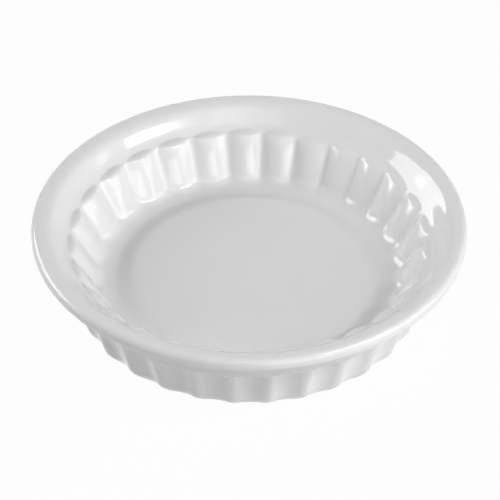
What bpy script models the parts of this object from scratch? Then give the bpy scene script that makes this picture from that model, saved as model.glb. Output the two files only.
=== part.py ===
"""Fluted mini ramekin: one casting of white glazed porcelain.

A shallow round dish with a broad sloping rim, an upright wall of flutes, a
slightly raised floor and a foot ring round a recessed underside. Inside, the
flutes are rounded lobes with grooves between them. Outside, the same flutes
are hollow, with rounded ridges between them, so that the wall keeps its
thickness.

Units are metres, +Z is up, and the origin is the centre of the face that the
foot ring stands on.
"""

import math
from dataclasses import dataclass

import bmesh
import bpy

NAME = "ramekin_body"
COLLECTION = "Fluted mini ramekin"

# Overall
RIM_RADIUS = 0.0600          # outermost edge of the rim
HEIGHT = 0.0273              # foot face to the crest of the rim

# Rim
RIM_THICKNESS = 0.0036       # the rounded outer edge
RIM_EDGE_FILLET = 0.0022
RIM_UNDER_FILLET = 0.0014
CREST_WIDTH = 0.0044         # the nearly level outer part of the rim
CREST_FILLET = 0.0056
LIP_RISE = 0.0001            # the outer edge stands a little above the crest line
SLOPE_WIDTH = 0.0064         # level width of the slope, crest to the necks between flutes
SLOPE_FALL = 0.0062
BEND_WIDTH = 0.0043          # level width of the slope's steeper outer part
BEND_FALL = 0.00455
UNDERCUT_WIDTH = 0.0018      # the rim's underside meets the body in a small cove
UNDERCUT_RISE = 0.0009       # how much lower that cove is than the outer edge

# Inner wall
CROWN_WIDTH = 0.0011         # level width of the slope that the flutes' arched tops take up
CROWN_PRESS = 0.0018         # a flute's shoulder against the necks beside it
CROWN_DROP = -0.00025        # below 0: a flute's shoulder stands higher than its necks
CROWN_SWELL = 0.00012        # how far an arched top's middle stands above a straight line
SHOULDER_FILLET = 0.0060
CHEST_SHARE = 0.2            # how far down the wall a flute stands out most
WALL_DRAFT = 0.0069          # inward lean of the inner wall
FOOT_PRESS = 0.0010          # a flute's foot against its grooves

# Body
NECK_RADIUS = 0.0514         # the plain band under the rim ends here, and the flutes begin
NECK_HEIGHT = 0.0150
FLUTE_START_DROP = 0.0010    # height in which the outer flutes reach their depth
BODY_DEPTH = 0.00135         # a hollow's middle against the ridges beside it
BODY_DRAFT = 0.0040          # inward lean of the body
HEEL_HEIGHT = 0.0026         # where the body turns in to the foot
HEEL_WIDTH = 0.0026
HEEL_FILLET = 0.0100

# Flutes
FLUTES = 29
FLUTE_START = math.radians(13.99)    # direction of the first groove, from +X
INNER_SOFTNESS = 0.22        # share of a flute that rounds off its edges
OUTER_SOFTNESS = 0.34
SPACING_SWAY = ((1, math.radians(2.42), math.radians(-159.3)),
                (2, math.radians(1.34), math.radians(52.1)))

# Floor
FLOOR_HEIGHT = 0.0108        # top of the raised centre
MOAT_DROP = 0.0015           # the ring round it is this much lower
MOAT_WIDTH = 0.0100          # wall's foot to the edge of the raised centre
MOAT_SLOPE = 0.0046          # level width of the raised centre's edge
MOAT_RISE = 0.0004           # how much higher the ring is at the wall's foot
COVE_FILLET = 0.0032

# Foot
FOOT_WIDTH = 0.0026          # the flat ring that it stands on
RECESS_DEPTH = 0.0048        # underside inside the foot ring
RECESS_SLOPE = 0.0016

CARRIED = ("press", "drop", "crown", "soft")
STEPS_PER_FLUTE = 6
MERGE = 0.00001


@dataclass(frozen=True)
class Corner:
    """One corner of the section, and what a flute does to it.

    radius and height place it at a groove. In a flute's middle it is moved
    inwards by press and down by drop. fillet is its radius, made of segments
    straight pieces. crown is how far it lies below the crease that a flute's
    arched top starts from: 0 at the crease, 1 from the necks down. soft is the
    share of a flute that rounds off the edges beside it.
    """

    radius: float
    height: float
    fillet: float = 0.0
    segments: int = 0
    press: float = 0.0
    drop: float = 0.0
    crown: float = 1.0
    soft: float = INNER_SOFTNESS

    def row(self):
        """All that a point of the section carries."""
        return (self.radius, self.height, self.press, self.drop, self.crown, self.soft)


def section():
    """Corners of the section, from the floor's centre over the rim to the underside's centre."""
    crest = RIM_RADIUS - CREST_WIDTH
    wall_top = crest - SLOPE_WIDTH
    neck = HEIGHT - SLOPE_FALL
    steepness = (SLOPE_FALL - BEND_FALL) / (SLOPE_WIDTH - BEND_WIDTH)
    well = wall_top - WALL_DRAFT
    disc = well - MOAT_WIDTH
    moat_floor = FLOOR_HEIGHT - MOAT_DROP
    chest = neck - CHEST_SHARE * (neck - moat_floor - MOAT_RISE)
    heel = NECK_RADIUS - BODY_DRAFT
    foot_outer = heel - HEEL_WIDTH
    foot_inner = foot_outer - FOOT_WIDTH
    rim_bottom = HEIGHT - RIM_THICKNESS
    soft = OUTER_SOFTNESS
    return (
        Corner(0.0, FLOOR_HEIGHT),
        Corner(disc, FLOOR_HEIGHT),
        Corner(disc + MOAT_SLOPE, moat_floor),
        Corner(well, moat_floor + MOAT_RISE, COVE_FILLET, 2, FOOT_PRESS),
        Corner(wall_top - CHEST_SHARE * WALL_DRAFT, chest, press=CROWN_PRESS),
        Corner(wall_top, neck, SHOULDER_FILLET, 2, 0.8 * CROWN_PRESS, CROWN_DROP),
        Corner(wall_top + 0.5 * CROWN_WIDTH, neck + 0.5 * CROWN_WIDTH * steepness, 0.0, 0,
               0.36 * CROWN_PRESS, 0.5 * CROWN_DROP - CROWN_SWELL, 0.5),
        Corner(wall_top + 0.75 * CROWN_WIDTH, neck + 0.75 * CROWN_WIDTH * steepness, 0.0, 0,
               0.1 * CROWN_PRESS, 0.25 * CROWN_DROP - 0.3 * CROWN_SWELL, 0.25),
        Corner(wall_top + CROWN_WIDTH, neck + CROWN_WIDTH * steepness, crown=0.0),
        Corner(crest - BEND_WIDTH, HEIGHT - BEND_FALL, crown=0.0),
        Corner(crest, HEIGHT, CREST_FILLET, 2, crown=0.0),
        Corner(RIM_RADIUS, HEIGHT + LIP_RISE, RIM_EDGE_FILLET, 3),
        Corner(RIM_RADIUS, rim_bottom, RIM_UNDER_FILLET, 2),
        Corner(NECK_RADIUS + UNDERCUT_WIDTH, rim_bottom - UNDERCUT_RISE, soft=soft),
        Corner(NECK_RADIUS, NECK_HEIGHT, soft=soft),
        Corner(NECK_RADIUS - 0.3 * FLUTE_START_DROP, NECK_HEIGHT - FLUTE_START_DROP, 0.0, 0,
               BODY_DEPTH, soft=soft),
        Corner(heel, HEEL_HEIGHT, HEEL_FILLET, 2, 0.9 * BODY_DEPTH, soft=soft),
        Corner(foot_outer, 0.0, 0.0, 0, 0.5 * BODY_DEPTH, soft=soft),
        Corner(foot_inner, 0.0),
        Corner(foot_inner - RECESS_SLOPE, RECESS_DEPTH),
        Corner(0.0, RECESS_DEPTH),
    )


def arc(before, corner, after):
    """Points of one corner, rounded by its fillet."""
    here = corner.row()
    if not corner.fillet:
        return [here]
    legs = []
    for other in (before, after):
        run = math.hypot(other.radius - corner.radius, other.height - corner.height)
        legs.append((other, run))
    ends = [math.atan2(o.height - corner.height, o.radius - corner.radius) for o, _ in legs]
    opening = abs((ends[0] - ends[1] + math.pi) % (2 * math.pi) - math.pi)
    reach = min(corner.fillet / math.tan(opening / 2), 0.45 * legs[0][1], 0.45 * legs[1][1])
    points = []
    tangents = []
    for other, run in legs:
        share = reach / run
        tangents.append(tuple(a + (b - a) * share for a, b in zip(here, other.row())))
    # the arc between the tangent points, as a rational curve with the corner as its middle pole
    weight = math.sin(opening / 2)
    for i in range(corner.segments + 1):
        t = i / corner.segments
        parts = ((1 - t) ** 2, 2 * weight * t * (1 - t), t ** 2)
        total = sum(parts)
        points.append(tuple(
            (parts[0] * p + parts[1] * q + parts[2] * r) / total
            for p, q, r in zip(tangents[0], here, tangents[1])))
    return points


def outline():
    """Every point of the section in order."""
    corners = section()
    points = [corners[0].row()]
    for before, corner, after in zip(corners, corners[1:], corners[2:]):
        points.extend(arc(before, corner, after))
    points.append(corners[-1].row())
    return points


def flute_wave(turns, crown, soft):
    """How far into a flute a point lies: 0 at its edges and above its arched top, 1 in its middle.

    turns is the point's direction as a share of a full turn. crown and soft
    are the section's, as in Corner.
    """
    edge = abs(2 * (turns * FLUTES % 1.0) - 1)
    rounding = max(0.0, edge - (1 - soft)) ** 2 / soft
    bulge = math.sqrt(max(0.0, (1 - edge * edge + rounding - soft) / (1 - soft)))
    return bulge * max(0.0, crown - 1 + bulge) / max(crown, 0.02)


def sway(angle):
    """The direction of a flute after the small unevenness of the flutes' spacing."""
    return angle + sum(size * math.sin(times * angle + lead) for times, size, lead in SPACING_SWAY)


def turned_section():
    """The section spun round Z, with what each vertex carries kept as attributes."""
    points = outline()
    mesh = bpy.data.meshes.new("section")
    vertices = [(point[0], 0.0, point[1]) for point in points]
    edges = [(i, i + 1) for i in range(len(points) - 1)]
    mesh.from_pydata(vertices, edges, [])
    for column, name in enumerate(CARRIED, start=2):
        attribute = mesh.attributes.new(name, "FLOAT", "POINT")
        for i, point in enumerate(points):
            attribute.data[i].value = point[column]
    profile = bpy.data.objects.new("section", mesh)
    bpy.context.scene.collection.objects.link(profile)
    screw = profile.modifiers.new("Screw", "SCREW")
    screw.axis = "Z"
    screw.angle = math.tau
    screw.steps = FLUTES * STEPS_PER_FLUTE
    screw.render_steps = FLUTES * STEPS_PER_FLUTE
    screw.use_smooth_shade = True
    graph = bpy.context.evaluated_depsgraph_get()
    turned = bpy.data.meshes.new_from_object(profile.evaluated_get(graph))
    bpy.data.objects.remove(profile, do_unlink=True)
    close_poles(turned)
    return turned


def close_poles(mesh):
    """Weld the copies of the two end points that the turning leaves on the axis."""
    work = bmesh.new()
    work.from_mesh(mesh)
    poles = [v for v in work.verts if math.hypot(v.co.x, v.co.y) < MERGE]
    bmesh.ops.remove_doubles(work, verts=poles, dist=MERGE)
    work.to_mesh(mesh)
    work.free()


def press_flutes(mesh):
    """Move each vertex of the turned mesh to where the flutes put it."""
    columns = [mesh.attributes[name].data for name in CARRIED]
    for vertex in mesh.vertices:
        x, y, z = vertex.co
        radius = math.hypot(x, y)
        if radius < MERGE:
            continue
        press, drop, crown, soft = (column[vertex.index].value for column in columns)
        angle = math.atan2(y, x)
        depth = flute_wave(angle / math.tau, crown, soft)
        radius -= depth * press
        angle = sway(angle)
        vertex.co = (radius * math.cos(angle), radius * math.sin(angle), z - depth * drop)
    mesh.update()


def glaze():
    """White porcelain glaze."""
    material = bpy.data.materials.new("white_glaze")
    material.use_nodes = True
    shader = material.node_tree.nodes["Principled BSDF"]
    shader.inputs["Base Color"].default_value = (0.88, 0.88, 0.87, 1.0)
    shader.inputs["Roughness"].default_value = 0.10
    shader.inputs["Metallic"].default_value = 0.0
    material.diffuse_color = (0.88, 0.88, 0.87, 1.0)
    return material


def build():
    """The dish as one object in its own collection."""
    for item in list(bpy.data.objects):
        bpy.data.objects.remove(item, do_unlink=True)
    collection = bpy.data.collections.new(COLLECTION)
    bpy.context.scene.collection.children.link(collection)
    mesh = turned_section()
    mesh.name = NAME
    press_flutes(mesh)
    mesh.shade_smooth()
    mesh.set_sharp_from_angle(angle=math.radians(40))
    mesh.materials.clear()
    mesh.materials.append(glaze())
    body = bpy.data.objects.new(NAME, mesh)
    body.rotation_euler = (0.0, 0.0, FLUTE_START)
    collection.objects.link(body)
    return body


build()
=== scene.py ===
"""Looks of a fluted mini ramekin: white glazed porcelain in plain soft studio light.

The dish is one turned casting whose wall is pressed into flutes. The section is
spun in mesh code, Geometry Nodes press the flutes into it, and the glaze is a
procedural material. Units are metres, +Z is up, and the origin is the centre
of the face that the foot ring stands on, as in the frame.
"""

import logging
import math
from dataclasses import dataclass, field
from enum import Enum
from typing import Any, Iterable, Optional, Union

import bpy
from mathutils import Matrix, Vector

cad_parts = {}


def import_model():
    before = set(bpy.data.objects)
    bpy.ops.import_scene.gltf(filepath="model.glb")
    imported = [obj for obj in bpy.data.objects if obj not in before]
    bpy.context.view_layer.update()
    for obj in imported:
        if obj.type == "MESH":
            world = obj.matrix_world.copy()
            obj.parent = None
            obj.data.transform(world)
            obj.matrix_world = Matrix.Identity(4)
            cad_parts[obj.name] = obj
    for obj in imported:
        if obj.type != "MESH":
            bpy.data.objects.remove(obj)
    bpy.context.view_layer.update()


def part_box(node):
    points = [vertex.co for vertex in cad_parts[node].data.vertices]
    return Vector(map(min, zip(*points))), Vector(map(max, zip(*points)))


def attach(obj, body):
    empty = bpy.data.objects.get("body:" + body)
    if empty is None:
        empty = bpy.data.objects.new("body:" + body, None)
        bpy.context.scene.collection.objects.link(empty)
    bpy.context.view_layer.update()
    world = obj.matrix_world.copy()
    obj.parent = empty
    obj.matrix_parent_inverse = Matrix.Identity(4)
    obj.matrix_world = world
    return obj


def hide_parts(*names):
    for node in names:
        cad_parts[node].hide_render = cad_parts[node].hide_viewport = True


LOG = logging.getLogger("ramekin")

BODY = "root"
NODE = "ramekin_body"
DISH_HEIGHT = 0.0273

Number = Union[int, float]


class Wire:
    """A node's socket that takes part in Python arithmetic.

    An expression on wires adds the Math nodes that work it out.
    """

    def __init__(self, bench: "NodeBench", socket: bpy.types.NodeSocket) -> None:
        """Keep the socket and the bench that it belongs to.

        Args:
            bench: The bench that adds this tree's nodes.
            socket: An output socket in that tree.
        """
        self.bench = bench
        self.socket = socket

    def maths(self, operation: str, *values: Any) -> "Wire":
        """One Math node with this wire and other values as its inputs.

        Args:
            operation: The Math node's operation.
            values: Numbers or wires for the sockets after the first.

        Returns:
            The node's result.
        """
        inputs = dict(enumerate((self, *values)))
        return self.bench.node("ShaderNodeMath", {"operation": operation}, inputs)

    def reversed_maths(self, operation: str, value: Any) -> "Wire":
        """One Math node with a value first and this wire second."""
        return self.bench.node("ShaderNodeMath", {"operation": operation}, {0: value, 1: self})

    def __add__(self, other: Any) -> "Wire":
        """This plus other."""
        return self.maths("ADD", other)

    __radd__ = __add__

    def __sub__(self, other: Any) -> "Wire":
        """This less other."""
        return self.maths("SUBTRACT", other)

    def __rsub__(self, other: Any) -> "Wire":
        """Other less this."""
        return self.reversed_maths("SUBTRACT", other)

    def __mul__(self, other: Any) -> "Wire":
        """This times other."""
        return self.maths("MULTIPLY", other)

    __rmul__ = __mul__

    def __truediv__(self, other: Any) -> "Wire":
        """This over other."""
        return self.maths("DIVIDE", other)

    def __rtruediv__(self, other: Any) -> "Wire":
        """Other over this."""
        return self.reversed_maths("DIVIDE", other)

    def __abs__(self) -> "Wire":
        """This without its sign."""
        return self.maths("ABSOLUTE")

    def __pow__(self, other: Any) -> "Wire":
        """This to the power of other."""
        return self.maths("POWER", other)

    def sine(self) -> "Wire":
        """The sine of this, an angle in radians."""
        return self.maths("SINE")

    def cosine(self) -> "Wire":
        """The cosine of this, an angle in radians."""
        return self.maths("COSINE")

    def fraction(self) -> "Wire":
        """What is left of this above the whole number below it."""
        return self.maths("FRACT")

    def floor(self) -> "Wire":
        """The whole number below this."""
        return self.maths("FLOOR")

    def root(self) -> "Wire":
        """The square root of this."""
        return self.maths("SQRT")

    def at_least(self, other: Any) -> "Wire":
        """The larger of this and other."""
        return self.maths("MAXIMUM", other)

    def rounded_at_least(self, other: Any, width: Any) -> "Wire":
        """The larger of this and other, with the bend between them rounded over width."""
        return self.maths("SMOOTH_MAX", other, width)

    def ramp(self, start: Number, end: Number) -> "Wire":
        """A smooth step of this value.

        Args:
            start: The value where the step is 0.
            end: The value where the step is 1. It may be below start.

        Returns:
            A wire from 0 to 1.
        """
        settings = {"interpolation_type": "SMOOTHSTEP"}
        inputs = {"Value": self, "From Min": start, "From Max": end, "To Min": 0.0, "To Max": 1.0}
        return self.bench.node("ShaderNodeMapRange", settings, inputs)


class NodeBench:
    """Adds the nodes of one tree."""

    def __init__(self, tree: bpy.types.NodeTree) -> None:
        """Start from a tree.

        Args:
            tree: The shader or geometry tree that the nodes go in.
        """
        self.tree = tree

    def node(self, kind: str, settings: Optional[dict[str, Any]] = None,
             inputs: Optional[dict[Union[int, str], Any]] = None, output: Union[int, str] = 0) -> Wire:
        """Add one node of any type.

        Args:
            kind: The node's type.
            settings: Its properties, which are set before its sockets.
            inputs: Its sockets by name or place, each a value or a wire.
            output: The output that is wanted.

        Returns:
            That output as a wire.
        """
        made = self.tree.nodes.new(kind)
        for name, value in (settings or {}).items():
            setattr(made, name, value)
        for name, value in (inputs or {}).items():
            socket = made.inputs[name]
            if isinstance(value, Wire):
                self.tree.links.new(value.socket, socket)
            else:
                socket.default_value = value
        return Wire(self, made.outputs[output])

    def mix(self, share: Any, first: Any, second: Any) -> Wire:
        """Blend two colours.

        Args:
            share: How much of the second, from 0 to 1.
            first: The colour at 0.
            second: The colour at 1.

        Returns:
            The blended colour.
        """
        return self.node("ShaderNodeMix", {"data_type": "RGBA"}, {0: share, 6: first, 7: second}, 2)

    def link(self, wire: Wire, node: bpy.types.Node, socket: Union[int, str]) -> None:
        """Connect a wire to a socket of a node that is already there."""
        self.tree.links.new(wire.socket, node.inputs[socket])


def grey(level: float, warmth: float = 0.0) -> tuple[float, float, float, float]:
    """A near-neutral colour.

    Args:
        level: Its brightness, linear.
        warmth: How much red is above and blue below that, as a share.

    Returns:
        The colour with an alpha of 1.
    """
    return (level * (1 + warmth), level, level * (1 - warmth), 1.0)


@dataclass(frozen=True)
class Corner:
    """One corner of the section, and what a flute does to it.

    radius and height place it at a groove. In a flute's middle it has moved
    inwards by press and down by drop. fillet is the radius that rounds it.
    crown is how far it lies below the crease that a flute's arched top starts
    from: 0 at the crease and above it, 1 from the neck between two flutes down.
    soft is 1 where the edges between the flutes are well rounded, as outside.
    """

    radius: float
    height: float
    fillet: float = 0.0
    press: float = 0.0
    drop: float = 0.0
    crown: float = 1.0
    soft: float = 0.0

    def row(self) -> Vector:
        """Radius, height, press, drop, crown and soft as one vector."""
        return Vector((self.radius, self.height, self.press, self.drop, self.crown, self.soft))


@dataclass(frozen=True)
class SectionPath:
    """The section as corners, from the floor's centre over the rim to the underside's centre.

    arc_step is the turn between two points of a fillet. A fillet takes run_share of the runs
    beside it at most, so that two of them never meet. Runs are divided at longest_run, and at
    crown_run in a flute's arched top.
    """

    corners: tuple[Corner, ...]
    arc_step: float = math.radians(7)
    run_share: float = 0.49
    longest_run: float = 0.0010
    crown_run: float = 0.00022

    def arc(self, before: Corner, corner: Corner, after: Corner) -> list[Vector]:
        """Points of one corner, rounded by its fillet.

        The fillet is measured in a flute's middle, because some corners have no bend at the
        grooves.

        Args:
            before: The corner ahead of it.
            corner: The corner that is rounded.
            after: The corner that follows.

        Returns:
            Its points in order.
        """
        here = corner.row()
        if not corner.fillet:
            return [here]
        legs = [before.row() - here, after.row() - here]
        pressed = [Vector((leg[0] - leg[2], leg[1] - leg[3])) for leg in legs]
        runs = [leg.length for leg in pressed]
        opening = pressed[0].angle(pressed[1])
        reach = min(corner.fillet / math.tan(opening / 2), self.run_share * min(runs))
        tangents = [here + leg * (reach / run) for leg, run in zip(legs, runs)]
        steps = max(2, round((math.pi - opening) / self.arc_step))
        weight = math.sin(opening / 2)
        points = []
        for i in range(steps + 1):
            t = i / steps
            parts = ((1 - t) ** 2, 2 * weight * t * (1 - t), t ** 2)
            mixed = parts[0] * tangents[0] + parts[1] * here + parts[2] * tangents[1]
            points.append(mixed / sum(parts))
        return points

    def points(self) -> list[Vector]:
        """Every point of the section, with long straight runs divided."""
        rounded = [self.corners[0].row()]
        for before, corner, after in zip(self.corners, self.corners[1:], self.corners[2:]):
            rounded.extend(self.arc(before, corner, after))
        rounded.append(self.corners[-1].row())
        path = [rounded[0]]
        for start, end in zip(rounded, rounded[1:]):
            rises = end[4] > start[4]
            run = Vector((end - start)[:2]).length
            parts = max(1, math.ceil(run / (self.crown_run if rises else self.longest_run)))
            path.extend(start + (end - start) * (k / parts) for k in range(1, parts + 1))
        return path


@dataclass(frozen=True)
class FluteRule:
    """How the flutes go round the wall, and the hand-made unevenness of the casting.

    softness is how much of a flute's half width its rounded edge takes, inside and outside.
    sway and second_sway are how far the flutes wander from even steps, once and twice in a
    turn. crease rounds the line where a flute's arched top meets the rim's slope.
    """

    count: int = 29
    start: float = math.radians(13.99)
    softness: float = 0.22
    outer_softness: float = 0.34
    sway: float = math.radians(2.42)
    sway_lead: float = math.radians(-159.3)
    second_sway: float = math.radians(1.34)
    second_lead: float = math.radians(52.1)
    depth_spread: float = 0.10
    crease: float = 0.10
    ripple: float = 0.00005
    ripple_size: float = 0.009
    seed: float = 4.0
    ripple_seed_step: float = 3.0
    flute_seed_step: float = 1.7

    def inputs(self) -> dict[str, float]:
        """The tree's named inputs and their values."""
        return {
            "Flutes": float(self.count),
            "Start": self.start,
            "Softness": self.softness,
            "Outer Softness": self.outer_softness,
            "Sway": self.sway,
            "Sway Lead": self.sway_lead,
            "Second Sway": self.second_sway,
            "Second Lead": self.second_lead,
            "Depth Spread": self.depth_spread,
            "Crease": self.crease,
            "Ripple": self.ripple,
            "Ripple Size": self.ripple_size,
            "Seed": self.seed,
        }


class FlutePress:
    """The Geometry Nodes tree that presses flutes into a turned blank."""

    def __init__(self, rule: FluteRule, material: bpy.types.Material) -> None:
        """Build the tree.

        Args:
            rule: The flutes' sizes and spacing.
            material: What the finished surface wears.
        """
        self.rule = rule
        self.tree = bpy.data.node_groups.new("flute_press", "GeometryNodeTree")
        self.sockets = {}
        interface = self.tree.interface
        interface.new_socket("Geometry", in_out="INPUT", socket_type="NodeSocketGeometry")
        for name, value in rule.inputs().items():
            socket = interface.new_socket(name, in_out="INPUT", socket_type="NodeSocketFloat")
            socket.default_value = value
            self.sockets[name] = socket.identifier
        interface.new_socket("Geometry", in_out="OUTPUT", socket_type="NodeSocketGeometry")
        self.wire_up(material)

    def attribute(self, bench: NodeBench, name: str) -> Wire:
        """A number that the blank's vertices carry."""
        return bench.node("GeometryNodeInputNamedAttribute", {"data_type": "FLOAT"}, {"Name": name})

    def noise(self, bench: NodeBench, place: Wire, scale: Any, seed: Any) -> Wire:
        """Smooth noise from -1 to 1.

        Args:
            bench: The bench that adds the nodes.
            place: Where it is read.
            scale: How many waves there are in a metre.
            seed: Which noise it is.

        Returns:
            The noise.
        """
        raw = bench.node("ShaderNodeTexNoise", {"noise_dimensions": "4D"},
                         {"Vector": place, "W": seed, "Scale": scale, "Detail": 1.0})
        return (raw - 0.5) * 2.0

    def wire_up(self, material: bpy.types.Material) -> None:
        """Lay out the nodes.

        Args:
            material: What the finished surface wears.
        """
        bench = NodeBench(self.tree)
        group = self.tree.nodes.new("NodeGroupInput")
        given = {name: Wire(bench, group.outputs[name]) for name in self.rule.inputs()}
        place = bench.node("GeometryNodeInputPosition")
        radius = self.attribute(bench, "radius")
        crown = self.attribute(bench, "crown")
        height = bench.node("ShaderNodeSeparateXYZ", None, {"Vector": place}, "Z")
        turn = self.attribute(bench, "turn")

        along = turn * given["Flutes"]
        edge = abs(along.fraction() * 2.0 - 1.0)
        outside = self.attribute(bench, "soft")
        rounded = given["Softness"] + (given["Outer Softness"] - given["Softness"]) * outside
        rounding = (edge - (1.0 - rounded)).at_least(0.0) ** 2.0 / rounded
        which = bench.node("ShaderNodeCombineXYZ", None, {"X": along.floor() * self.rule.flute_seed_step})
        uneven = self.noise(bench, which, 1.0, given["Seed"]) * given["Depth Spread"] + 1.0
        bulge = ((1.0 - edge * edge + rounding - rounded) / (1.0 - rounded)).at_least(0.0).root()
        arched = ((crown - 1.0 + bulge).rounded_at_least(0.0, given["Crease"])
                  / crown.rounded_at_least(0.0, given["Crease"]))
        wave = bulge * arched * uneven

        angle = turn * math.tau
        swayed = (angle + (angle + given["Sway Lead"]).sine() * given["Sway"]
                  + (angle * 2.0 + given["Second Lead"]).sine() * given["Second Sway"] + given["Start"])
        ripple_seed = given["Seed"] + self.rule.ripple_seed_step
        ripple = self.noise(bench, place, 1.0 / given["Ripple Size"], ripple_seed) * given["Ripple"]
        pressed = radius - wave * self.attribute(bench, "press") + ripple * self.attribute(bench, "give")
        dropped = height - wave * self.attribute(bench, "drop")
        moved = bench.node("ShaderNodeCombineXYZ", None, {
            "X": pressed * swayed.cosine(), "Y": pressed * swayed.sine(), "Z": dropped})
        shaped = bench.node("GeometryNodeSetPosition", None,
                            {"Geometry": Wire(bench, group.outputs["Geometry"]), "Position": moved})
        edges = bench.node("GeometryNodeStoreNamedAttribute", {"data_type": "FLOAT", "domain": "POINT"},
                           {"Geometry": shaped, "Name": "flute_edge",
                            "Value": edge * self.attribute(bench, "on_wall")})
        whole = bench.node("GeometryNodeRealizeInstances", None, {"Geometry": edges})
        dressed = bench.node("GeometryNodeSetMaterial", None, {"Geometry": whole, "Material": material})
        out = self.tree.nodes.new("NodeGroupOutput")
        bench.link(dressed, out, "Geometry")

    def apply(self, blank: bpy.types.Object) -> bpy.types.Mesh:
        """Press the flutes into a blank.

        Args:
            blank: The turned blank, with its numbers on its vertices.

        Returns:
            The finished mesh.
        """
        modifier = blank.modifiers.new("flutes", "NODES")
        modifier.node_group = self.tree
        for name, value in self.rule.inputs().items():
            modifier[self.sockets[name]] = value
        graph = bpy.context.evaluated_depsgraph_get()
        mesh = bpy.data.meshes.new_from_object(blank.evaluated_get(graph))
        blank.modifiers.remove(modifier)
        return mesh


@dataclass(frozen=True)
class Glaze:
    """Glossy white glaze over porcelain, bare on the ring that the dish stands on."""

    white: float = 0.90
    warmth: float = 0.004
    mottle: float = 0.018
    mottle_size: float = 0.014
    mottle_detail: float = 3.0
    noise_roughness: float = 0.55
    thin_tone: float = 0.94
    thin_from: float = 0.80
    thin_share: float = 0.5
    roughness: float = 0.07
    roughness_spread: float = 0.03
    peel: float = 0.000006
    peel_size: float = 0.0022
    peel_detail: float = 2.0
    pinhole: float = 0.00016
    pinhole_spacing: float = 0.011
    pinhole_core: float = 0.4
    pinhole_tone: float = 0.6
    pinhole_warmth: float = 0.04
    pinhole_share: float = 0.25
    pinhole_depth: float = 0.2
    bare_tone: float = 0.72
    bare_warmth: float = 0.03
    bare_roughness: float = 0.62
    bare_top: float = 0.00028
    bare_fade: float = 0.00022
    bare_wander_size: float = 0.003
    bare_wander_detail: float = 2.0
    grain: float = 0.00004
    grain_size: float = 0.00045
    grain_detail: float = 3.0
    refraction: float = 1.52

    def build(self) -> bpy.types.Material:
        """Make the material.

        Returns:
            The glaze, with the bare ring under the foot.
        """
        material = bpy.data.materials.new("white_glaze")
        material.use_nodes = True
        material.diffuse_color = grey(self.white)
        shader = material.node_tree.nodes["Principled BSDF"]
        shader.inputs["IOR"].default_value = self.refraction
        bench = NodeBench(material.node_tree)
        place = bench.node("ShaderNodeTexCoord", None, None, "Object")
        bare = self.bare_ring(bench, place)
        cloud = self.noise(bench, place, self.mottle_size, self.mottle_detail)
        edge = bench.node("ShaderNodeAttribute", {"attribute_name": "flute_edge"}, None, "Fac")
        thin = edge.ramp(self.thin_from, 1.0)
        bench.link(self.colour(bench, place, cloud, thin, bare), shader, "Base Color")
        smooth = self.roughness + self.roughness_spread * (cloud - 0.5)
        bench.link(smooth * (1.0 - bare) + bare * self.bare_roughness, shader, "Roughness")
        bench.link(self.relief(bench, place, bare), shader, "Normal")
        return material

    def noise(self, bench: NodeBench, place: Wire, size: float, detail: float) -> Wire:
        """Smooth noise from 0 to 1 whose waves have a real size."""
        return bench.node("ShaderNodeTexNoise", None, {
            "Vector": place, "Scale": 1.0 / size, "Detail": detail, "Roughness": self.noise_roughness})

    def bare_ring(self, bench: NodeBench, place: Wire) -> Wire:
        """Where the foot ring is left unglazed: 1 on its face, 0 above it."""
        height = bench.node("ShaderNodeSeparateXYZ", None, {"Vector": place}, "Z")
        waves = self.noise(bench, place, self.bare_wander_size, self.bare_wander_detail)
        wander = (waves - 0.5) * self.bare_fade
        return (height + wander).ramp(self.bare_top + self.bare_fade, self.bare_top)

    def colour(self, bench: NodeBench, place: Wire, cloud: Wire, thin: Wire, bare: Wire) -> Wire:
        """The surface's colour.

        Args:
            bench: The bench that adds the nodes.
            place: The point on the surface.
            cloud: The glaze's slow variation, from 0 to 1.
            thin: Where the glaze has run thin over an edge, from 0 to 1.
            bare: Where there is no glaze, from 0 to 1.

        Returns:
            The colour.
        """
        pale = grey(self.white * (1 + self.mottle), self.warmth)
        deep = grey(self.white * (1 - self.mottle), -self.warmth)
        glazed = bench.mix(cloud, pale, deep)
        thinned = grey(self.white * self.thin_tone, self.warmth * 2)
        worn = bench.mix(thin * self.thin_share, glazed, thinned)
        pit = grey(self.white * self.pinhole_tone, self.pinhole_warmth)
        specked = bench.mix(self.pinholes(bench, place) * self.pinhole_share, worn, pit)
        return bench.mix(bare, specked, grey(self.bare_tone, self.bare_warmth))

    def pinholes(self, bench: NodeBench, place: Wire) -> Wire:
        """Sparse tiny pits in the glaze: 1 in a pit's middle, 0 elsewhere."""
        near = bench.node("ShaderNodeTexVoronoi", {"feature": "F1"},
                          {"Vector": place, "Scale": 1.0 / self.pinhole_spacing}, "Distance")
        edge = self.pinhole / self.pinhole_spacing
        return near.ramp(edge, self.pinhole_core * edge)

    def relief(self, bench: NodeBench, place: Wire, bare: Wire) -> Wire:
        """The glaze's faint orange peel and pits, and the bare ring's grain."""
        peel = self.noise(bench, place, self.peel_size, self.peel_detail) * self.peel
        pits = self.pinholes(bench, place) * (-self.pinhole * self.pinhole_depth)
        sand = self.noise(bench, place, self.grain_size, self.grain_detail) * self.grain
        height = (peel + pits) * (1.0 - bare) + sand * bare
        return bench.node("ShaderNodeBump", None, {"Height": height, "Strength": 1.0, "Distance": 1.0})


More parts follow.
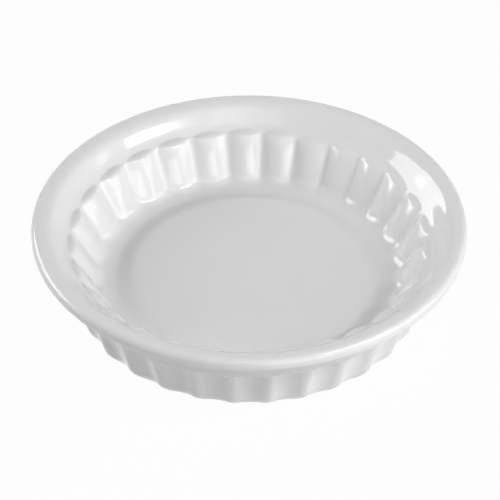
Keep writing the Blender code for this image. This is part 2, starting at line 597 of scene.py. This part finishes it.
@dataclass
class Casting:
    """The dish itself: rim, fluted wall, floor and foot in one casting.

    The sizes are in metres. A share is of the size or press that its name begins with.
    """

    rim_radius: float
    height: float
    rule: FluteRule = field(default_factory=FluteRule)
    glaze: Glaze = field(default_factory=Glaze)
    steps_per_flute: int = 20

    rim_thickness: float = 0.0036
    rim_edge_fillet: float = 0.0022
    rim_under_fillet: float = 0.0014
    crest_width: float = 0.0044
    crest_fillet: float = 0.0056
    lip_rise: float = 0.0001
    bend_width: float = 0.0043
    bend_fall: float = 0.00455
    bend_fillet: float = 0.0200
    slope_width: float = 0.0064
    slope_fall: float = 0.0062
    undercut_width: float = 0.0018
    undercut_rise: float = 0.0009
    undercut_fillet: float = 0.0020

    crown_width: float = 0.0011
    crown_press: float = 0.0018
    crown_drop: float = -0.00025
    crown_swell: float = 0.00012
    crown_fillet: float = 0.0080
    shoulder_press_share: float = 0.72
    shoulder_fillet: float = 0.0060
    chest_share: float = 0.15
    chest_fillet: float = 0.0140
    wall_draft: float = 0.0069
    foot_press: float = 0.0010

    neck_radius: float = 0.0514
    neck_height: float = 0.0150
    neck_fillet: float = 0.0008
    flute_start: float = 0.0010
    flute_step_in: float = 0.0003
    flute_start_fillet: float = 0.0010
    body_depth: float = 0.00135
    body_draft: float = 0.0040
    heel_height: float = 0.0026
    heel_width: float = 0.0026
    heel_fillet: float = 0.0100
    heel_depth_share: float = 0.9
    foot_depth_share: float = 0.5

    floor_height: float = 0.0108
    disc_fillet: float = 0.0070
    moat_drop: float = 0.0015
    moat_width: float = 0.0100
    moat_slope: float = 0.0046
    moat_rise: float = 0.0004
    moat_fillet: float = 0.0045
    cove_fillet: float = 0.0048

    foot_width: float = 0.0026
    foot_outer_fillet: float = 0.0010
    foot_inner_fillet: float = 0.00035
    recess_depth: float = 0.0048
    recess_slope: float = 0.0016
    recess_fillet: float = 0.0015

    calm_radius: float = 0.020
    calm_rim: float = 0.006

    def section(self) -> SectionPath:
        """The section through the dish.

        Returns:
            Its corners, from the floor's centre over the rim to the underside's centre.
        """
        return SectionPath((*self.inside(), *self.outside(), *self.underside()))

    def inside(self) -> Iterable[Corner]:
        """The upper surface.

        Yields:
            The corners from the floor's centre up the wall and the rim's slope to the crest.
        """
        crest = self.rim_radius - self.crest_width
        wall_top = crest - self.slope_width
        neck = self.height - self.slope_fall
        well = wall_top - self.wall_draft
        disc = well - self.moat_width
        moat_floor = self.floor_height - self.moat_drop
        chest = neck - self.chest_share * (neck - moat_floor - self.moat_rise)
        yield Corner(0.0, self.floor_height)
        yield Corner(disc, self.floor_height, self.disc_fillet)
        yield Corner(disc + self.moat_slope, moat_floor, self.moat_fillet)
        yield Corner(well, moat_floor + self.moat_rise, self.cove_fillet, self.foot_press)
        yield Corner(wall_top - self.chest_share * self.wall_draft, chest,
                     self.chest_fillet, self.crown_press)
        yield Corner(wall_top, neck, self.shoulder_fillet,
                     self.shoulder_press_share * self.crown_press, self.crown_drop)
        yield from self.arched_top(wall_top, neck)
        yield Corner(crest - self.bend_width, self.height - self.bend_fall, self.bend_fillet, crown=0.0)
        yield Corner(crest, self.height, self.crest_fillet, crown=0.0)

    def arched_top(self, wall_top: float, neck: float) -> Iterable[Corner]:
        """The corners of a flute's arched top, which swells out of the rim's slope.

        Args:
            wall_top: The radius of the neck between two flutes.
            neck: Its height.

        Yields:
            The corners from above the shoulder up to the crease.
        """
        steepness = (self.slope_fall - self.bend_fall) / (self.slope_width - self.bend_width)
        stations = ((0.5, 0.36, 0.5, 1.0, 0.5), (0.75, 0.1, 0.25, 0.3, 0.25), (1.0, 0.0, 0.0, 0.0, 0.0))
        for share, press, drop, swell, crown in stations:
            out = share * self.crown_width
            yield Corner(wall_top + out, neck + out * steepness, self.crown_fillet, press * self.crown_press,
                         drop * self.crown_drop - swell * self.crown_swell, crown)

    def outside(self) -> Iterable[Corner]:
        """The outer surface.

        Yields:
            The corners from the rim's edge down the neck and the fluted body to the heel.
        """
        rim_bottom = self.height - self.rim_thickness
        yield Corner(self.rim_radius, self.height + self.lip_rise, self.rim_edge_fillet)
        yield Corner(self.rim_radius, rim_bottom, self.rim_under_fillet)
        yield Corner(self.neck_radius + self.undercut_width, rim_bottom - self.undercut_rise,
                     self.undercut_fillet, soft=1.0)
        yield Corner(self.neck_radius, self.neck_height, self.neck_fillet, soft=1.0)
        yield Corner(self.neck_radius - self.flute_step_in, self.neck_height - self.flute_start,
                     self.flute_start_fillet, self.body_depth, soft=1.0)
        yield Corner(self.neck_radius - self.body_draft, self.heel_height, self.heel_fillet,
                     self.heel_depth_share * self.body_depth, soft=1.0)

    def underside(self) -> Iterable[Corner]:
        """The face that the dish stands on, and what lies inside it.

        Yields:
            The corners of the foot ring and of the recess, to the centre.
        """
        foot_outer = self.neck_radius - self.body_draft - self.heel_width
        foot_inner = foot_outer - self.foot_width
        yield Corner(foot_outer, 0.0, self.foot_outer_fillet,
                     self.foot_depth_share * self.body_depth, soft=1.0)
        yield Corner(foot_inner, 0.0, self.foot_inner_fillet)
        yield Corner(foot_inner - self.recess_slope, self.recess_depth, self.recess_fillet)
        yield Corner(0.0, self.recess_depth)

    def blank(self) -> bpy.types.Object:
        """Turn the section into a closed blank whose vertices carry what the flutes need.

        Returns:
            An object with the attributes that the tree reads: radius, turn, press, drop, crown,
            soft, give and on_wall.
        """
        path = self.section().points()
        rings = path[1:-1]
        steps = self.rule.count * self.steps_per_flute
        vertices = []
        names = ("radius", "turn", "press", "drop", "crown", "soft", "give", "on_wall")
        numbers = {name: [] for name in names}
        for step in range(steps):
            turn = step / steps
            across = Vector((math.cos(math.tau * turn), math.sin(math.tau * turn)))
            for ring in rings:
                vertices.append((ring[0] * across.x, ring[0] * across.y, ring[1]))
                self.note(numbers, ring, turn)
        for pole in (path[0], path[-1]):
            vertices.append((0.0, 0.0, pole[1]))
            self.note(numbers, pole, 0.0)
        mesh = bpy.data.meshes.new("blank")
        mesh.from_pydata(vertices, [], list(self.faces(steps, len(rings))))
        for name, values in numbers.items():
            mesh.attributes.new(name, "FLOAT", "POINT").data.foreach_set("value", values)
        mesh.shade_smooth()
        blank = bpy.data.objects.new("blank", mesh)
        bpy.context.scene.collection.objects.link(blank)
        return blank

    def note(self, numbers: dict[str, list[float]], ring: Vector, turn: float) -> None:
        """Write down one vertex's numbers.

        Args:
            numbers: The lists that grow.
            ring: Its point of the section.
            turn: Its share of a full turn.
        """
        numbers["radius"].append(ring[0])
        numbers["turn"].append(turn)
        numbers["press"].append(ring[2])
        numbers["drop"].append(ring[3])
        numbers["crown"].append(ring[4])
        numbers["soft"].append(ring[5])
        inner, outer = ring[0] / self.calm_radius, (self.rim_radius - ring[0]) / self.calm_rim
        numbers["give"].append(max(0.0, min(1.0, inner, outer)))
        numbers["on_wall"].append(min(1.0, ring[2] / self.foot_press))

    def faces(self, steps: int, rings: int) -> Iterable[tuple[int, ...]]:
        """The blank's faces, pointing outwards.

        Args:
            steps: How many sections go round.
            rings: How many points each has, without the poles.

        Yields:
            The vertices of each face.
        """
        top_pole = steps * rings
        for step in range(steps):
            here = step * rings
            there = (step + 1) % steps * rings
            yield (top_pole, here, there)
            for ring in range(rings - 1):
                yield (here + ring, here + ring + 1, there + ring + 1, there + ring)
            yield (top_pole + 1, there + rings - 1, here + rings - 1)

    def build(self) -> bpy.types.Object:
        """Make the dish and give it to the frame.

        Returns:
            The finished piece.
        """
        blank = self.blank()
        mesh = FlutePress(self.rule, self.glaze.build()).apply(blank)
        bpy.data.objects.remove(blank, do_unlink=True)
        mesh.name = "porcelain_dish"
        mesh.shade_smooth()
        dish = bpy.data.objects.new("porcelain_dish", mesh)
        bpy.context.scene.collection.objects.link(dish)
        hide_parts(NODE)
        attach(dish, BODY)
        return dish


class Aim(Enum):
    """What a light points at."""

    DISH = (0.0, 0.0, 0.012)


@dataclass(frozen=True)
class Softbox:
    """One rectangular lamp, placed by its direction from the dish.

    azimuth, elevation and roll are in degrees, and the lengths in metres. brightness is the
    lamp's radiance, so that a larger lamp of the same brightness gives more light.
    """

    name: str
    azimuth: float
    elevation: float
    distance: float
    width: float
    height: float
    brightness: float
    roll: float = 0.0

    def build(self) -> bpy.types.Object:
        """Make the lamp.

        Returns:
            The lamp, pointing at the dish.
        """
        lamp = bpy.data.lights.new(self.name, "AREA")
        lamp.shape = "RECTANGLE"
        lamp.size = self.width
        lamp.size_y = self.height
        lamp.energy = self.brightness * math.pi * self.width * self.height
        around, up = math.radians(self.azimuth), math.radians(self.elevation)
        towards = Vector((math.cos(up) * math.cos(around), math.cos(up) * math.sin(around), math.sin(up)))
        box = bpy.data.objects.new(self.name, lamp)
        rolled = Matrix.Rotation(math.radians(self.roll), 3, "Z")
        turn = towards.to_track_quat("Z", "Y").to_matrix() @ rolled
        place = Vector(Aim.DISH.value) + towards * self.distance
        box.matrix_world = Matrix.Translation(place) @ turn.to_4x4()
        bpy.context.scene.collection.objects.link(box)
        return box


@dataclass(frozen=True)
class Camera:
    """The camera, where the photograph was taken from.

    right and up are how far it lies off the line through its centre, which shifts the picture.
    """

    elevation: float = math.radians(38.41)
    distance: float = 1.2
    reach: float = 20.0
    sensor: float = 36.0
    lens: float = 313.7
    roll: float = math.radians(0.072)
    right: float = 0.000246
    up: float = -0.005928

    def build(self, centre: Vector) -> bpy.types.Object:
        """Place the camera.

        Args:
            centre: The point that it would look at if it weren't off to a side.

        Returns:
            The camera.
        """
        back = Vector((0.0, -math.cos(self.elevation), math.sin(self.elevation)))
        level = Vector((1.0, 0.0, 0.0))
        upright = back.cross(level)
        across = level * math.cos(self.roll) + upright * math.sin(self.roll)
        upward = back.cross(across)
        data = bpy.data.cameras.new("camera")
        data.sensor_width = self.sensor
        data.lens = self.lens
        data.clip_end = self.reach
        camera = bpy.data.objects.new("camera", data)
        placed = Matrix((across, upward, back)).transposed().to_4x4()
        placed.translation = centre + back * self.distance + across * self.right + upward * self.up
        camera.matrix_world = placed
        bpy.context.scene.collection.objects.link(camera)
        bpy.context.scene.camera = camera
        return camera


@dataclass
class Studio:
    """A white floor, softboxes and the camera.

    rim_drop is how far the rim's widest line, which the camera is centred on, lies below the
    dish's top. seen_share is how much pure white the camera sees over the floor's shaded
    tone. room is the light that the surroundings give besides the lamps.
    """

    dish_height: float
    rim_drop: float = 0.0021
    floor_half: float = 3.0
    floor_tone: float = 0.62
    floor_roughness: float = 0.9
    seen_share: float = 0.97
    room: float = 0.0
    lamps: tuple[Softbox, ...] = (
        Softbox("key_softbox", -28.0, 43.0, 1.1, 0.62, 0.065, 27.0, -18.0),
        Softbox("window_softbox", 151.0, 24.0, 1.1, 0.80, 0.50, 4.6),
        Softbox("right_fill", -10.0, 18.0, 1.2, 0.80, 0.66, 2.1),
        Softbox("low_fill", -66.0, 10.0, 1.2, 0.70, 0.40, 2.5),
        Softbox("high_fill", -42.0, 32.0, 1.2, 0.90, 0.80, 1.0),
        Softbox("left_fill", 168.0, 12.0, 1.2, 0.66, 0.45, 2.2),
        Softbox("top_fill", -60.0, 64.0, 1.2, 0.66, 0.66, 0.9),
        Softbox("front_fill", -88.0, 46.0, 1.2, 0.66, 0.66, 1.15),
    )

    def floor(self) -> bpy.types.Object:
        """The floor, white to the camera and still shaded by the dish.

        Returns:
            The floor.
        """
        half = self.floor_half
        mesh = bpy.data.meshes.new("studio_floor")
        mesh.from_pydata([(-half, -half, 0), (half, -half, 0), (half, half, 0), (-half, half, 0)],
                         [], [(0, 1, 2, 3)])
        mesh.materials.append(self.floor_material())
        floor = bpy.data.objects.new("studio_floor", mesh)
        bpy.context.scene.collection.objects.link(floor)
        return floor

    def seen(self, bench: NodeBench) -> Wire:
        """1 where the camera looks, straight or by a reflection, and 0 for the light itself."""
        straight, glossy, through = (
            bench.node("ShaderNodeLightPath", None, None, name)
            for name in ("Is Camera Ray", "Is Glossy Ray", "Is Transmission Ray"))
        return straight.at_least(glossy).at_least(through)

    def floor_material(self) -> bpy.types.Material:
        """Matt white that the camera sees lifted most of the way to pure white."""
        material = bpy.data.materials.new("studio_white")
        material.use_nodes = True
        tree = material.node_tree
        shader = tree.nodes["Principled BSDF"]
        shader.inputs["Base Color"].default_value = grey(self.floor_tone)
        shader.inputs["Roughness"].default_value = self.floor_roughness
        shader.inputs["Specular IOR Level"].default_value = 0.0
        bench = NodeBench(tree)
        matt = Wire(bench, shader.outputs["BSDF"])
        white = bench.node("ShaderNodeEmission", None, {"Color": grey(1.0), "Strength": 1.0})
        share = self.seen(bench) * self.seen_share
        mixed = bench.node("ShaderNodeMixShader", None, {0: share, 1: matt, 2: white})
        bench.link(mixed, tree.nodes["Material Output"], "Surface")
        return material

    def world(self) -> None:
        """White surroundings to the camera and its reflections, and dark ones to the light."""
        world = bpy.data.worlds.new("studio_room")
        bpy.context.scene.world = world
        world.use_nodes = True
        tree = world.node_tree
        background = tree.nodes["Background"]
        background.inputs["Color"].default_value = grey(1.0)
        background.inputs["Strength"].default_value = self.room
        bench = NodeBench(tree)
        white = bench.node("ShaderNodeBackground", None, {"Color": grey(1.0), "Strength": 1.0})
        dim = Wire(bench, background.outputs["Background"])
        mixed = bench.node("ShaderNodeMixShader", None, {0: self.seen(bench), 1: dim, 2: white})
        bench.link(mixed, tree.nodes["World Output"], "Surface")

    def build(self) -> None:
        """Set up the studio."""
        self.floor()
        self.world()
        for lamp in self.lamps:
            lamp.build()
            LOG.info("lamp %s", lamp.name)
        Camera().build(Vector((0.0, 0.0, self.dish_height - self.rim_drop)))
        bpy.context.scene.view_settings.view_transform = "Standard"


def main() -> None:
    """Build the dish and its studio from the frame."""
    logging.basicConfig(level=logging.INFO, format="%(name)s: %(message)s")
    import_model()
    low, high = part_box(NODE)
    casting = Casting(rim_radius=(high[0] - low[0]) / 2, height=DISH_HEIGHT)
    dish = casting.build()
    LOG.info("piece %s, %d faces", dish.name, len(dish.data.polygons))
    Studio(dish_height=casting.height).build()


if __name__ == "__main__":
    main()
